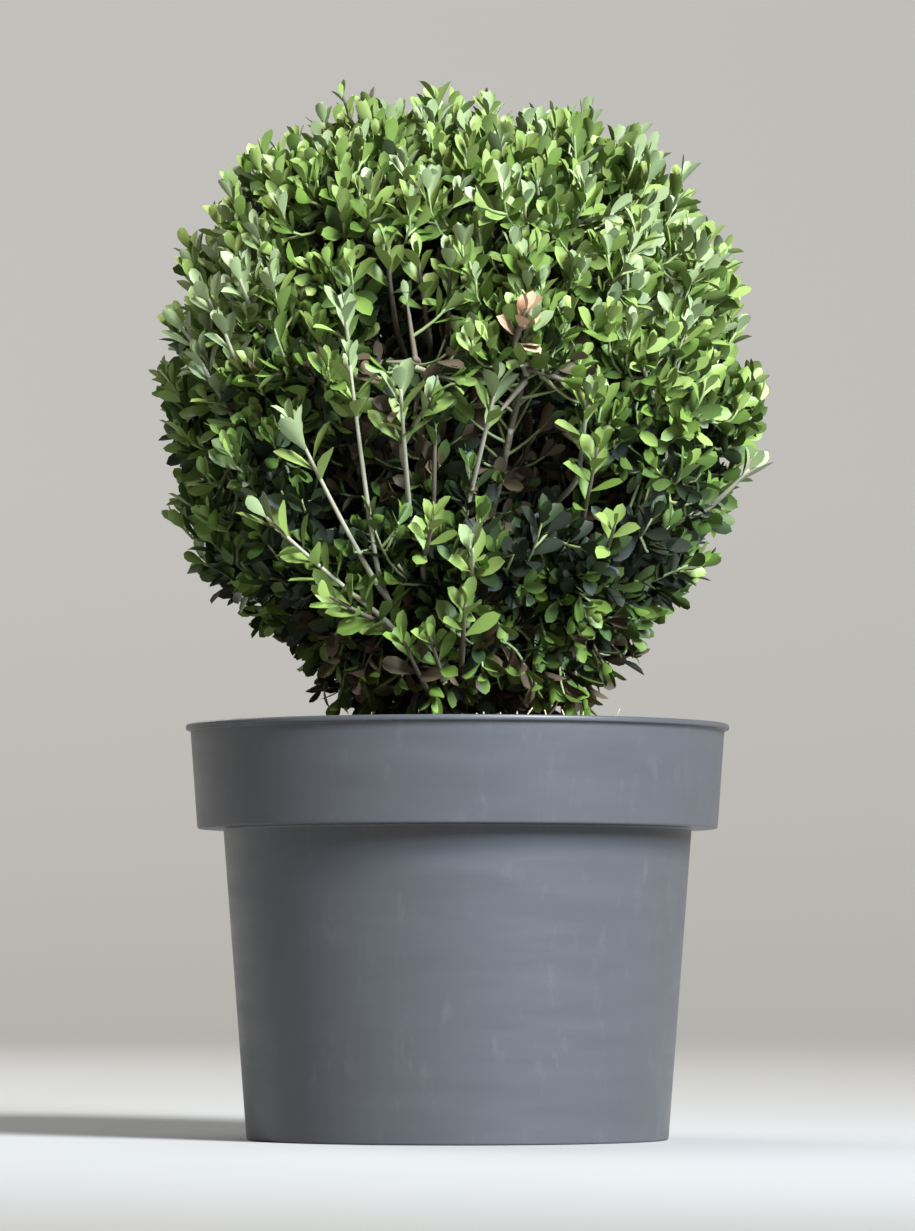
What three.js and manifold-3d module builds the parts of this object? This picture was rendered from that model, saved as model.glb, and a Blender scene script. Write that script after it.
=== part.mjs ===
// A Japanese holly clipped to a ball, growing in its nursery container.
// Millimetres, +Z up. The origin is the centre of the container's flat underside, and -Y
// is the side that faces the viewer, with +X on the viewer's right.
import * as THREE from 'three';
import { mergeVertices } from 'three/addons/utils/BufferGeometryUtils.js';
import Module from 'manifold-3d';

const wasm = await Module();
wasm.setup();

// Clearance between pieces that touch
const GAP = 0.35;

// Container, outside sizes
const POT_HEIGHT = 175;
const POT_TOP_RADIUS = 115;
const POT_BAND_RADIUS = 110;
const POT_BAND_HEIGHT = 44;
const POT_NECK_RADIUS = 99;
const POT_FOOT_RADIUS = 89;
const POT_WALL = 2;
const POT_FLOOR = 3;
const POT_LIP = 2;
const POT_LIP_HEIGHT = 2.4;
const POT_ROUNDING = 3;
const POT_CORNER = 1;
const POT_SEGMENTS = 40;
const DRAIN_COUNT = 8;
const DRAIN_RADIUS = 6;
const DRAIN_CIRCLE = 64;

// Growing medium, lower than the rim and slightly heaped at the stem
const SOIL_EDGE_HEIGHT = 161;
const SOIL_CENTRE_HEIGHT = 165;
const SOIL_HEAP_RADIUS = 24;
const SOIL_SHRINK = 1.2;
const SOIL_SEGMENTS = 28;

// Trunk, a short leader inside the crown
const TRUNK_FOOT = SOIL_CENTRE_HEIGHT + GAP;
const TRUNK_TIP_HEIGHT = 292;
const TRUNK_FLARE_RADIUS = 13;
const TRUNK_FLARE_HEIGHT = 4;
const TRUNK_RADIUS = 7.5;
const TRUNK_TIP_RADIUS = 3;
const TRUNK_LEAN = new THREE.Vector2(-6, -4);
const TRUNK_SIDES = 10;
const TRUNK_RINGS = [0, 2, 5, 10, 20, 45, 70, 98, TRUNK_TIP_HEIGHT - TRUNK_FOOT];

// Boughs, and the stem that carries each on into its mass of foliage
const BOUGH_STEPS = 5;
const BOUGH_SIDES = 5;
const BOUGH_TAPER = 0.36;
const BOUGH_BOW = { level: 0.56, rise: 0.44 };
const STEM_LENGTH = 34;
const STEM_BEYOND = 6;
const STEM_SIDES = 5;

// Crown, a squarish ball on a skirt of low foliage that narrows towards the soil
const CROWN_CENTRE = new THREE.Vector3(0, 0, 318);
const CROWN_RADIUS = 134;
const CROWN_HALF_HEIGHT = 124;
const CROWN_SQUARENESS = 2.4;
const SKIRT_FOOT = 169;
const SKIRT_FOOT_RADIUS = 58;
const SKIRT_SLOPE = 0.56;
const CLUMP_DIP = 0.055;
const SPACE_MARGIN = 0.6;

// Cores, which the leaves stand out of: how far under the outline, and their largest radius
const CORE_DEPTH = 24;
const CORE_SIZE = 46;
const CORE_SIZE_PER_DEGREE = 1.5;
const CORE_CLEARANCE = 5;

// Edges that may be taken out of a fused mass, the first that works
const SMALLEST_EDGES = [0.3, 0.33, 0.27, 0.36, 0.24, 0.2, 0.15, 0.1];

// Leaves and twigs
const LEAF_LENGTH = 28;
const TIP_LEAF_LENGTH = 19;
const LEAF_WIDTH = 14;
const LEAF_THICKNESS = 1.5;
const LEAF_SUNK = 1.4;
const LEAF_ANGLE = 66;
const LEAF_MIDDLE = 0.52;
const LEAF_PLACES = [3, 9, 15];
const TWIG_RADIUS = 1.5;
const TWIG_TIP_RADIUS = 1.1;
const TWIG_SCATTER = 3;
const TWIG_SPREAD = 0.92;
const TWIG_TURN = 40;
const GOLDEN_ANGLE = 137.508;

// Rings of foliage masses: where each sits in the crown, how far it spreads in degrees, how
// many twigs its stem carries, and the height at which its bough leaves the trunk
const RINGS = [
  { ring: 'upper', count: 5, elevation: 40, first: -62, step: 72, spread: 30, depth: 0.66,
    twigs: 9, fork: 236, forkStep: 5, thick: 2.8 },
  { ring: 'side', count: 5, elevation: -4, first: -27, step: 59.25, spread: 31, depth: 0.7,
    twigs: 9, fork: 210, forkStep: 5, thick: 2.8 },
  { ring: 'front', count: 3, elevation: 1, first: -124, step: 25, spread: 14, depth: 0.78,
    twigs: 4, fork: 194, forkStep: 6, thick: 2.1 },
  { ring: 'low', count: 5, elevation: -60, first: -90, step: 72, spread: 32, depth: 0.76,
    twigs: 13, fork: 178, forkStep: 3, thick: 2.5 },
];
const TOP_MASS = { name: 'top', elevation: 88, azimuth: -60, spread: 27, depth: 0.6, twigs: 9 };

const COLOURS = {
  pot: { color: 0x3f4248, roughness: 0.5 },
  soil: { color: 0x4a3626, roughness: 1 },
  bark: { color: 0x77705a, roughness: 0.9 },
  leaf: { color: 0x4f7a2c, roughness: 0.45 },
};

const holly = new THREE.Group();

function addPiece(name, geometry, look) {
  const material = new THREE.MeshStandardMaterial({ ...COLOURS[look], metalness: 0 });
  const mesh = new THREE.Mesh(geometry, material);
  mesh.name = name;
  holly.add(mesh);
}

// Closed geometry to solid and back

function toSolid(geometry) {
  const bare = geometry.index ? geometry.clone() : geometry;
  bare.deleteAttribute('normal');
  bare.deleteAttribute('uv');
  const merged = mergeVertices(bare, 1e-4);
  return new wasm.Manifold(new wasm.Mesh({
    numProp: 3,
    vertProperties: new Float32Array(merged.attributes.position.array),
    triVerts: new Uint32Array(merged.index.array),
  }));
}

function toGeometry(solid) {
  const mesh = solid.getMesh();
  const geometry = new THREE.BufferGeometry();
  geometry.setAttribute('position', new THREE.BufferAttribute(mesh.vertProperties, 3));
  geometry.setIndex(new THREE.BufferAttribute(mesh.triVerts, 1));
  return geometry;
}

// The one largest body of a solid, without the hollows that fusing sealed
function largestBody(solid) {
  const bodies = solid.decompose();
  bodies.sort((a, b) => b.volume() - a.volume());
  return bodies[0];
}

// True where two corners of a solid lie in one place, which pinches its surface
function isPinched(solid) {
  const { vertProperties } = solid.getMesh();
  const places = new Set();
  for (let i = 0; i < vertProperties.length; i += 3) {
    places.add([...vertProperties.slice(i, i + 3)].map((value) => value.toFixed(3)).join());
  }
  return places.size < vertProperties.length / 3;
}

// The largest body with its smallest edges taken out, as far as nothing gets pinched
function plainer(solid) {
  for (const edge of SMALLEST_EDGES) {
    const body = largestBody(solid.simplify(edge));
    if (!isPinched(body)) return body;
  }
  return largestBody(solid);
}

const degrees = THREE.MathUtils.degToRad;

function heading(azimuth, elevation) {
  const level = Math.cos(degrees(elevation));
  return new THREE.Vector3(
    level * Math.cos(degrees(azimuth)),
    level * Math.sin(degrees(azimuth)),
    Math.sin(degrees(elevation)),
  );
}

// The same random numbers from the same seed, each from 0 to 1
function randomFrom(seed) {
  let state = seed;
  return () => {
    state = (state * 1664525 + 1013904223) % 4294967296;
    return state / 4294967296;
  };
}

// Two unit vectors square to an axis
function squareTo(axis) {
  const helper = Math.abs(axis.z) < 0.9 ? new THREE.Vector3(0, 0, 1) : new THREE.Vector3(1, 0, 0);
  const side = new THREE.Vector3().crossVectors(axis, helper).normalize();
  return [side, new THREE.Vector3().crossVectors(axis, side)];
}

// A closed tapering limb: a ring of corners at each point of its route, and two flat ends
function limbGeometry(points, radii, sides) {
  const corners = [];
  const faces = [];
  let [side] = squareTo(points[1].clone().sub(points[0]).normalize());
  points.forEach((point, i) => {
    const before = points[Math.max(i - 1, 0)];
    const after = points[Math.min(i + 1, points.length - 1)];
    const along = after.clone().sub(before).normalize();
    side = side.clone().addScaledVector(along, -side.dot(along)).normalize();
    const across = new THREE.Vector3().crossVectors(along, side);
    for (let k = 0; k < sides; k += 1) {
      const turn = (2 * Math.PI * k) / sides;
      corners.push(point.clone()
        .addScaledVector(side, radii[i] * Math.cos(turn))
        .addScaledVector(across, radii[i] * Math.sin(turn)));
    }
    for (let k = 0; i > 0 && k < sides; k += 1) {
      const low = (i - 1) * sides;
      const next = (k + 1) % sides;
      faces.push(low + k, low + next, low + sides + k);
      faces.push(low + next, low + sides + next, low + sides + k);
    }
  });
  const last = corners.length - sides;
  for (let k = 1; k < sides - 1; k += 1) {
    faces.push(0, k + 1, k);
    faces.push(last, last + k, last + k + 1);
  }
  const geometry = new THREE.BufferGeometry().setFromPoints(corners);
  geometry.setIndex(faces);
  return geometry;
}

// A leaf of eight faces from its sunk root to its tip
function leafGeometry(root, along, upward, length) {
  const across = new THREE.Vector3().crossVectors(along, upward).normalize();
  const middle = root.clone().addScaledVector(along, length * LEAF_MIDDLE);
  const corners = [
    root.clone().addScaledVector(along, -LEAF_SUNK),
    root.clone().addScaledVector(along, length),
    middle.clone().addScaledVector(across, LEAF_WIDTH / 2),
    middle.clone().addScaledVector(across, -LEAF_WIDTH / 2),
    middle.clone().addScaledVector(upward, LEAF_THICKNESS / 2),
    middle.clone().addScaledVector(upward, -LEAF_THICKNESS / 2),
  ];
  const geometry = new THREE.BufferGeometry().setFromPoints(corners);
  geometry.setIndex([0, 2, 4, 2, 1, 4, 1, 3, 4, 3, 0, 4, 2, 0, 5, 1, 2, 5, 3, 1, 5, 0, 3, 5]);
  return geometry;
}

function leafCorners(leaf) {
  const place = leaf.attributes.position;
  return Array.from({ length: place.count }, (_, i) => new THREE.Vector3().fromBufferAttribute(place, i));
}

// Container: one wall that steps out to the rim band, with a rolled lip and a drained floor

function potInnerRadius(height) {
  const neck = POT_HEIGHT - POT_BAND_HEIGHT;
  const share = height / neck;
  return POT_FOOT_RADIUS + (POT_NECK_RADIUS - POT_FOOT_RADIUS) * share - POT_WALL;
}

function potGeometry() {
  const neck = POT_HEIGHT - POT_BAND_HEIGHT;
  const outline = [
    [0, 0],
    [POT_FOOT_RADIUS - POT_ROUNDING, 0],
    [POT_FOOT_RADIUS, POT_ROUNDING],
    [POT_NECK_RADIUS, neck],
    [POT_BAND_RADIUS - POT_CORNER, neck],
    [POT_BAND_RADIUS, neck + POT_CORNER],
    [POT_TOP_RADIUS - POT_LIP, POT_HEIGHT - POT_LIP_HEIGHT - POT_CORNER],
    [POT_TOP_RADIUS, POT_HEIGHT - POT_LIP_HEIGHT],
    [POT_TOP_RADIUS, POT_HEIGHT - POT_CORNER],
    [POT_TOP_RADIUS - POT_CORNER, POT_HEIGHT],
    [POT_TOP_RADIUS - POT_LIP - POT_WALL, POT_HEIGHT],
    [POT_BAND_RADIUS - POT_WALL, neck + POT_WALL + POT_CORNER],
    [POT_BAND_RADIUS - POT_WALL - POT_CORNER, neck + POT_WALL],
    [POT_NECK_RADIUS - POT_WALL, neck + POT_WALL],
    [potInnerRadius(POT_FLOOR), POT_FLOOR],
    [0, POT_FLOOR],
  ];
  const points = outline.map(([radius, height]) => new THREE.Vector2(radius, height));
  const turned = new THREE.LatheGeometry(points, POT_SEGMENTS).rotateX(Math.PI / 2);
  let solid = toSolid(turned);
  for (let k = 0; k < DRAIN_COUNT; k += 1) {
    const place = heading((360 * k) / DRAIN_COUNT, 0).multiplyScalar(DRAIN_CIRCLE);
    const drill = new THREE.CylinderGeometry(DRAIN_RADIUS, DRAIN_RADIUS, 4 * POT_FLOOR, 12);
    drill.rotateX(Math.PI / 2).translate(place.x, place.y, POT_FLOOR / 2);
    solid = solid.subtract(toSolid(drill));
  }
  return toGeometry(solid);
}

// Growing medium: fills the container, shrunk a little from its wall
function soilGeometry() {
  const step = POT_HEIGHT - POT_BAND_HEIGHT + POT_WALL;
  const points = [
    [0, POT_FLOOR + GAP],
    [potInnerRadius(POT_FLOOR) - SOIL_SHRINK, POT_FLOOR + GAP],
    [POT_NECK_RADIUS - POT_WALL - SOIL_SHRINK, step],
    [POT_NECK_RADIUS - POT_WALL - SOIL_SHRINK, step + GAP],
    [POT_BAND_RADIUS - POT_WALL - POT_CORNER - SOIL_SHRINK, step + GAP],
    [POT_BAND_RADIUS - POT_WALL, SOIL_EDGE_HEIGHT],
    [SOIL_HEAP_RADIUS, SOIL_CENTRE_HEIGHT],
    [0, SOIL_CENTRE_HEIGHT],
  ].map(([radius, height]) => new THREE.Vector2(radius, height));
  return new THREE.LatheGeometry(points, SOIL_SEGMENTS).rotateX(Math.PI / 2);
}

// Trunk: flared foot on the soil, then an even taper that leans on its way to the tip

function trunkShare(height) {
  return (height - TRUNK_FOOT) / (TRUNK_TIP_HEIGHT - TRUNK_FOOT);
}

function trunkCentre(height) {
  const lean = THREE.MathUtils.smoothstep(trunkShare(height), 0, 1);
  return new THREE.Vector3(TRUNK_LEAN.x * lean, TRUNK_LEAN.y * lean, height);
}

function trunkRadius(height) {
  const spread = Math.exp((TRUNK_FOOT - height) / TRUNK_FLARE_HEIGHT);
  return THREE.MathUtils.lerp(TRUNK_RADIUS, TRUNK_TIP_RADIUS, trunkShare(height))
    + (TRUNK_FLARE_RADIUS - TRUNK_RADIUS) * spread;
}

function trunkGeometry(extra) {
  const heights = TRUNK_RINGS.map((height) => height + TRUNK_FOOT);
  const radii = heights.map((height) => trunkRadius(height) + extra);
  return limbGeometry(heights.map(trunkCentre), radii, TRUNK_SIDES);
}

// Crown outline: how far foliage reaches from the crown's centre along a heading
function crownReach(along) {
  const level = Math.hypot(along.x, along.y);
  const rise = Math.abs(along.z);
  const ball = ((level / CROWN_RADIUS) ** CROWN_SQUARENESS
    + (rise / CROWN_HALF_HEIGHT) ** CROWN_SQUARENESS) ** (-1 / CROWN_SQUARENESS);
  if (along.z >= 0) return ball;
  const depth = CROWN_CENTRE.z - SKIRT_FOOT;
  const cone = (SKIRT_FOOT_RADIUS + SKIRT_SLOPE * depth) / (level + SKIRT_SLOPE * rise);
  return Math.max(ball, Math.min(cone, depth / rise));
}

// Foliage masses, each with its own cone of the crown as its space

const masses = [TOP_MASS];
for (const ring of RINGS) {
  for (let k = 0; k < ring.count; k += 1) {
    masses.push({
      ...ring,
      name: `${ring.ring}_${k + 1}`,
      azimuth: ring.first + ring.step * k,
      fork: ring.fork + ring.forkStep * k,
    });
  }
}
masses.forEach((mass, index) => {
  mass.seed = 1009 * (index + 1);
  mass.toward = heading(mass.azimuth, mass.elevation);
  mass.middle = CROWN_CENTRE.clone()
    .addScaledVector(mass.toward, mass.depth * crownReach(mass.toward));
});

// Clearance of a point from the edge of a mass's own space, negative outside it
function insideBy(point, mass) {
  const offset = point.clone().sub(CROWN_CENTRE);
  const away = offset.length();
  const own = offset.angleTo(mass.toward) - degrees(mass.spread);
  let clear = -own * away;
  for (const other of masses) {
    if (other !== mass) {
      const theirs = offset.angleTo(other.toward) - degrees(other.spread);
      clear = Math.min(clear, ((theirs - own) * away) / 2);
    }
  }
  return clear;
}

// Outline of one mass: the crown's, dipping towards the edge of the mass
function massReach(along, mass) {
  const share = along.angleTo(mass.toward) / degrees(mass.spread);
  return crownReach(along) * (1 - CLUMP_DIP * Math.min(share, 1) ** 2);
}

// Boughs: each leaves the trunk, bows outwards and stops where its mass begins

const trunkGrown = toSolid(trunkGeometry(GAP));

function boughOf(mass) {
  const start = trunkCentre(mass.fork);
  const straight = mass.middle.clone().sub(start).normalize();
  const end = mass.middle.clone().addScaledVector(straight, -STEM_LENGTH);
  const span = end.clone().sub(start);
  const bow = new THREE.Vector3(BOUGH_BOW.level, BOUGH_BOW.level, BOUGH_BOW.rise);
  const control = start.clone().add(span.multiply(bow));
  const points = new THREE.QuadraticBezierCurve3(start, control, end).getPoints(BOUGH_STEPS);
  const radii = points.map((_, i) => mass.thick * (1 - BOUGH_TAPER * (i / BOUGH_STEPS)));
  const beyond = end.clone().sub(control).setLength(GAP).add(end);
  const grownRadii = [...radii, radii.at(-1)].map((radius) => radius + GAP);
  const grown = toSolid(limbGeometry([...points, beyond], grownRadii, BOUGH_SIDES));
  return { name: `bough_${mass.name}`, points, radii, beyond, grown };
}

const boughs = [];
for (const mass of masses) {
  if (mass === TOP_MASS) {
    mass.stemStart = trunkCentre(TRUNK_TIP_HEIGHT + GAP);
    mass.stemRadius = TRUNK_TIP_RADIUS;
  } else {
    mass.bough = boughOf(mass);
    mass.stemStart = mass.bough.beyond;
    mass.stemRadius = mass.bough.radii.at(-1);
    boughs.push(mass.bough);
  }
}

// Distance from a stretch of twig or leaf to the surface of the nearest limb but its own bough
function limbClearance(from, to, mass) {
  const stretch = new THREE.Line3(from, to);
  const gapTo = (centre, radius) => (
    stretch.closestPointToPoint(centre, true, new THREE.Vector3()).distanceTo(centre) - radius
  );
  const gaps = TRUNK_RINGS.map((height) => (
    gapTo(trunkCentre(TRUNK_FOOT + height), trunkRadius(TRUNK_FOOT + height))
  ));
  for (const bough of boughs.filter((each) => each !== mass.bough)) {
    bough.points.forEach((point, i) => gaps.push(gapTo(point, bough.radii[i])));
  }
  return Math.min(...gaps);
}

// Core of a clipped mass: a ball whose corners draw in until they are clear of everything

function coreFits(corner, mass) {
  const offset = corner.clone().sub(CROWN_CENTRE);
  const depth = massReach(offset.clone().normalize(), mass) - offset.length();
  return depth > CORE_DEPTH && insideBy(corner, mass) > 2 * SPACE_MARGIN
    && limbClearance(corner, corner, mass) > CORE_CLEARANCE;
}

function coreGeometry(mass) {
  const ball = new THREE.IcosahedronGeometry(1, 1);
  ball.deleteAttribute('normal');
  ball.deleteAttribute('uv');
  const core = mergeVertices(ball, 1e-4);
  const place = core.attributes.position;
  for (let i = 0; i < place.count; i += 1) {
    const outward = new THREE.Vector3().fromBufferAttribute(place, i);
    let radius = Math.min(CORE_SIZE, CORE_SIZE_PER_DEGREE * mass.spread);
    let corner = mass.middle.clone().addScaledVector(outward, radius);
    while (radius > CORE_CLEARANCE && !coreFits(corner, mass)) {
      radius *= 0.94;
      corner = mass.middle.clone().addScaledVector(outward, radius);
    }
    place.setXYZ(i, corner.x, corner.y, corner.z);
  }
  return core;
}

// Growth of one mass: a stem into the core, twigs from the stem to the outline, and leaves
// that spiral down each twig from a small one at its tip
function massGeometry(mass) {
  const random = randomFrom(mass.seed);
  const [sideways, upways] = squareTo(mass.toward);
  const stemEnd = mass.middle.clone().addScaledVector(mass.toward, STEM_BEYOND);
  const stemPoints = [mass.stemStart, mass.middle, stemEnd];
  const stemRadii = [mass.stemRadius, mass.stemRadius, TWIG_RADIUS];
  const solids = [
    toSolid(coreGeometry(mass)),
    toSolid(limbGeometry(stemPoints, stemRadii, STEM_SIDES)),
  ];

  function growLeaf(root, along, upward, length) {
    const leaf = leafGeometry(root, along, upward, length);
    const tip = root.clone().addScaledVector(along, length);
    const fits = insideBy(root, mass) > SPACE_MARGIN
      && leafCorners(leaf).every((corner) => insideBy(corner, mass) > SPACE_MARGIN)
      && limbClearance(root, tip, mass) > LEAF_WIDTH / 3;
    if (fits) solids.push(toSolid(leaf));
  }

  for (let k = 0; k < mass.twigs; k += 1) {
    const lean = degrees(mass.spread) * TWIG_SPREAD * Math.sqrt((k + 0.3) / mass.twigs);
    const turn = degrees(GOLDEN_ANGLE * k + TWIG_TURN * random());
    const along = mass.toward.clone().multiplyScalar(Math.cos(lean))
      .addScaledVector(sideways, Math.sin(lean) * Math.cos(turn))
      .addScaledVector(upways, Math.sin(lean) * Math.sin(turn));
    const reach = massReach(along, mass) - TIP_LEAF_LENGTH - TWIG_SCATTER * random();
    const start = mass.stemStart.clone().lerp(stemEnd, 0.95 - 0.35 * (k / mass.twigs));
    const end = CROWN_CENTRE.clone().addScaledVector(along, reach);
    if (insideBy(end, mass) < SPACE_MARGIN + TWIG_RADIUS) continue;
    if (limbClearance(start, end, mass) < 2 * TWIG_RADIUS) continue;
    solids.push(toSolid(limbGeometry([start, end], [TWIG_RADIUS, TWIG_TIP_RADIUS], 3)));
    const grow = end.clone().sub(start).normalize();
    const [across, over] = squareTo(grow);
    growLeaf(end, grow, across, TIP_LEAF_LENGTH);
    let spin = 2 * Math.PI * random();
    for (const back of LEAF_PLACES) {
      spin += degrees(GOLDEN_ANGLE);
      const outward = across.clone().multiplyScalar(Math.cos(spin))
        .addScaledVector(over, Math.sin(spin));
      const leafAlong = grow.clone().multiplyScalar(Math.cos(degrees(LEAF_ANGLE)))
        .addScaledVector(outward, Math.sin(degrees(LEAF_ANGLE)));
      const upward = grow.clone().addScaledVector(leafAlong, -grow.dot(leafAlong)).normalize();
      const length = LEAF_LENGTH * (0.85 + 0.3 * random());
      growLeaf(end.clone().addScaledVector(grow, -back), leafAlong, upward, length);
    }
  }
  const fused = wasm.Manifold.union(solids);
  const clear = wasm.Manifold.difference([fused, trunkGrown, ...boughs.map((each) => each.grown)]);
  return toGeometry(plainer(clear.asOriginal()));
}

addPiece('pot', potGeometry(), 'pot');
addPiece('growing_medium', soilGeometry(), 'soil');
addPiece('trunk', trunkGeometry(0), 'bark');
for (const bough of boughs) {
  const solid = toSolid(limbGeometry(bough.points, bough.radii, BOUGH_SIDES));
  addPiece(bough.name, toGeometry(largestBody(solid.subtract(trunkGrown))), 'bark');
}
for (const mass of masses) {
  addPiece(`foliage_${mass.name}`, massGeometry(mass), 'leaf');
}

export default holly;
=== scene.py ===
# A clipped Japanese holly in its container, dressed around its solids.
# Metres, +Z up, with -Y towards the viewer and +X on the viewer's right. The shrub grows
# here by the seeded rule that its solids grow by, carried on to finer twigs and real leaves.
from math import acos, cos, exp, hypot, pi, radians, sin, sqrt
from types import SimpleNamespace

import bpy
import numpy as np
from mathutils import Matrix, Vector, noise
from numpy.linalg import norm


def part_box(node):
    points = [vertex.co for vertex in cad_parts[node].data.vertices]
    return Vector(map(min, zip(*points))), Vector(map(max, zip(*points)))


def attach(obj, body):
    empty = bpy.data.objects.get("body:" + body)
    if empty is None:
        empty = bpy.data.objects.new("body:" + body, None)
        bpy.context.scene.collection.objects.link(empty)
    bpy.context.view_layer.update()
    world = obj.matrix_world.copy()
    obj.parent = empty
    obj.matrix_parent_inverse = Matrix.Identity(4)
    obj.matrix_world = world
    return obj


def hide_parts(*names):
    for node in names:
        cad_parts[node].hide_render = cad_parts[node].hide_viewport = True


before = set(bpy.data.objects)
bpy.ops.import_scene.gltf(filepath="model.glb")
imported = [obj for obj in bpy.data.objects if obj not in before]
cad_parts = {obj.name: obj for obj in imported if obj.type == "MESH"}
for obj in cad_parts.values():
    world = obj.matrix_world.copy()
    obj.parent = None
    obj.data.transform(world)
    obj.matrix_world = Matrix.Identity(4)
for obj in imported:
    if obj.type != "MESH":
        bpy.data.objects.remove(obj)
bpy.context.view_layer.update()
BODY = "root"

# Container, outside sizes
POT_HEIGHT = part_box("pot")[1].z
POT_TOP_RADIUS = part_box("pot")[1].x
POT_BAND_RADIUS = 0.110
POT_BAND_HEIGHT = 0.044
POT_NECK_HEIGHT = POT_HEIGHT - POT_BAND_HEIGHT
POT_NECK_RADIUS = 0.099
POT_FOOT_RADIUS = 0.089
POT_WALL = 0.002
POT_FLOOR = 0.003
POT_LIP = 0.002
POT_LIP_HEIGHT = 0.0024
POT_CORNER = 0.0011
DRAIN_COUNT = 8
DRAIN_RADIUS = 0.006
DRAIN_CIRCLE = 0.064

# Growing medium and the mulch on it
SOIL_EDGE_HEIGHT = 0.161
SOIL_CENTRE_HEIGHT = 0.165
SOIL_CLEARANCE = 0.0006
SOIL_EDGE_RADIUS = POT_BAND_RADIUS - POT_WALL - SOIL_CLEARANCE
SOIL_SHRINK = 0.0012
SOIL_HEAP_RADIUS = 0.024
SOIL_ROUGHNESS = 0.0016
SOIL_LUMPS = 90
SOIL_FRACTAL = (0.7, 2, 4)
CRUMB_COUNT = 900
CRUMB_INSET = 0.004
CRUMB_SIZES = (0.0008, 0.0034)
CRUMB_STRETCHES = [(1, 2.2), (0.7, 1.2), (0.45, 0.85)]
CRUMB_WOBBLE = (0.75, 1.25)
CRUMB_PROUD = 0.3
FIBRE_COUNT = 620
FIBRE_INSET = 0.010
FIBRE_LENGTHS = (0.010, 0.036)
FIBRE_BEND = 0.5
FIBRE_LIFTS = (0.0008, 0.0038)
FIBRE_RADII = (0.0002, 0.00055)
FIBRE_TAPER = 0.7
STANDING_FIBRES = 45
STANDING_SUNK = 0.001
STANDING_LEAN = 0.016
STANDING_BOW = 0.002
STANDING_CIRCLE = (0.070, 0.100)
STANDING_TURNS = (-90, 20)
STANDING_TIPS = (-0.003, 0.004)
STANDING_RADII = (0.0004, 0.0003)

# Trunk, its foot on the medium, and the heights of its solid's rings above that
TRUNK_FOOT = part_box("trunk")[0].z
TRUNK_TIP_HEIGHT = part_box("trunk")[1].z
TRUNK_FLARE_RADIUS = 0.013
TRUNK_FLARE_HEIGHT = 0.004
TRUNK_RADIUS = 0.0075
TRUNK_TIP_RADIUS = 0.003
TRUNK_LEAN = (-0.006, -0.004)
TRUNK_SUNK = 0.0005
TRUNK_RINGS = [0, 0.002, 0.005, 0.010, 0.020, 0.045, 0.070, 0.098, TRUNK_TIP_HEIGHT - TRUNK_FOOT]

# Boughs, and the stem that carries each on into its mass of foliage
BOUGH_STEPS = 5
BOUGH_TAPER = 0.36
BOUGH_BOW = np.array([0.56, 0.56, 0.44])
STEM_LENGTH = 0.034
STEM_BEYOND = 0.006
GAP = 0.00035

# Bark relief: fissures along a limb, knots, lobes at the trunk's foot and collars on boughs
FISSURE_SCALE = 700
FISSURE_SCALE_ALONG = 150
FISSURE_FRACTAL = (0.8, 2, 3)
FISSURE_RELIEF = 0.10
KNOT_SCALE = 95
KNOT_RELIEF = 0.16
LOBE_COUNT = 4
LOBE_TURN = 0.6
LOBE_FADE = 0.009
COLLAR_SWELL = 0.7
COLLAR_FADE = 0.004

# Crown, a squarish ball on a skirt of low foliage
CROWN_CENTRE = np.array([0.0, 0.0, 0.318])
CROWN_RADIUS = 0.134
CROWN_HALF_HEIGHT = 0.124
CROWN_SQUARENESS = 2.4
SKIRT_FOOT = 0.169
SKIRT_FOOT_RADIUS = 0.058
SKIRT_SLOPE = 0.56
CLUMP_DIP = 0.055
SPACE_MARGIN = 0.0006
WIDEST_BAND = 0.25
WIDEST_FADE = 0.35

# Twigs, as the solids have them
TIP_SPRAY_LENGTH = 0.019
SPRAY_LENGTH = 0.028
SPRAY_LENGTHS = (0.85, 1.15)
SPRAY_ANGLE = 66
SPRAY_PLACES = [0.003, 0.009, 0.015]
TWIG_RADIUS = 0.0015
TWIG_SCATTER = 0.003
TWIG_SPREAD = 0.92
TWIG_STARTS = (0.95, 0.60)
TWIG_TURN = 40
CONE_START = 0.3
GOLDEN_ANGLE = 137.508

# Finer twigs, which the same rule adds between them, and their side sprays
FINE_PER_TWIG = 6
FINE_SPREAD = 1.1
FINE_OVERLAP = 0.008
FINE_INSET = 0.004
WIDEST_INSET = 0.007
FINE_SCATTER = 0.010
FINE_PROUD = 0.007
PROUD_SHARE = 0.1
FINE_STARTS = (0.1, 0.6)
FINE_BEND = 0.6
FINE_RADIUS = 0.0009
FINE_TIP_RADIUS = 0.0005
FINE_LEAVES = 11
FINE_UPRIGHT = 0.68
UPRIGHT_FROM = 0.19
UPRIGHT_OVER = 0.08
SIDE_SPRAY_BACK = (0.014, 0.020)
SIDE_SPRAY_LENGTH = 0.022
SIDE_FORWARD = 0.6
SIDE_SPRAY_LEAVES = 6

# All sprays, and the ones round the stem of a mass, whose dark tone is painted shade
SPRAY_RADIUS = 0.00081
SPRAY_BEND = 0.4
SPRAY_LIFT = 0.1225
SPRAY_SHORT = 0.8
SPRAY_LEAVES = 8
INNER_SPRAYS = 64
INNER_SPRAY_LENGTH = 0.030
INNER_LENGTHS = (0.8, 1.3)
INNER_FORWARD = 0.5
INNER_SPRAY_LEAVES = 7
INNER_SHARE = 0.8
INNER_DROP = 0.11
INNER_TONE = 0.04

# Tufts and gaps in the crown's surface: their size, and how far the gaps go in
TUFT_SIZE = 0.024
TUFT_RISE = 0.006
GAP_DEPTH = 0.034
TUFT_GAIN = 2.2
TUFT_BIAS = 0.15

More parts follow.
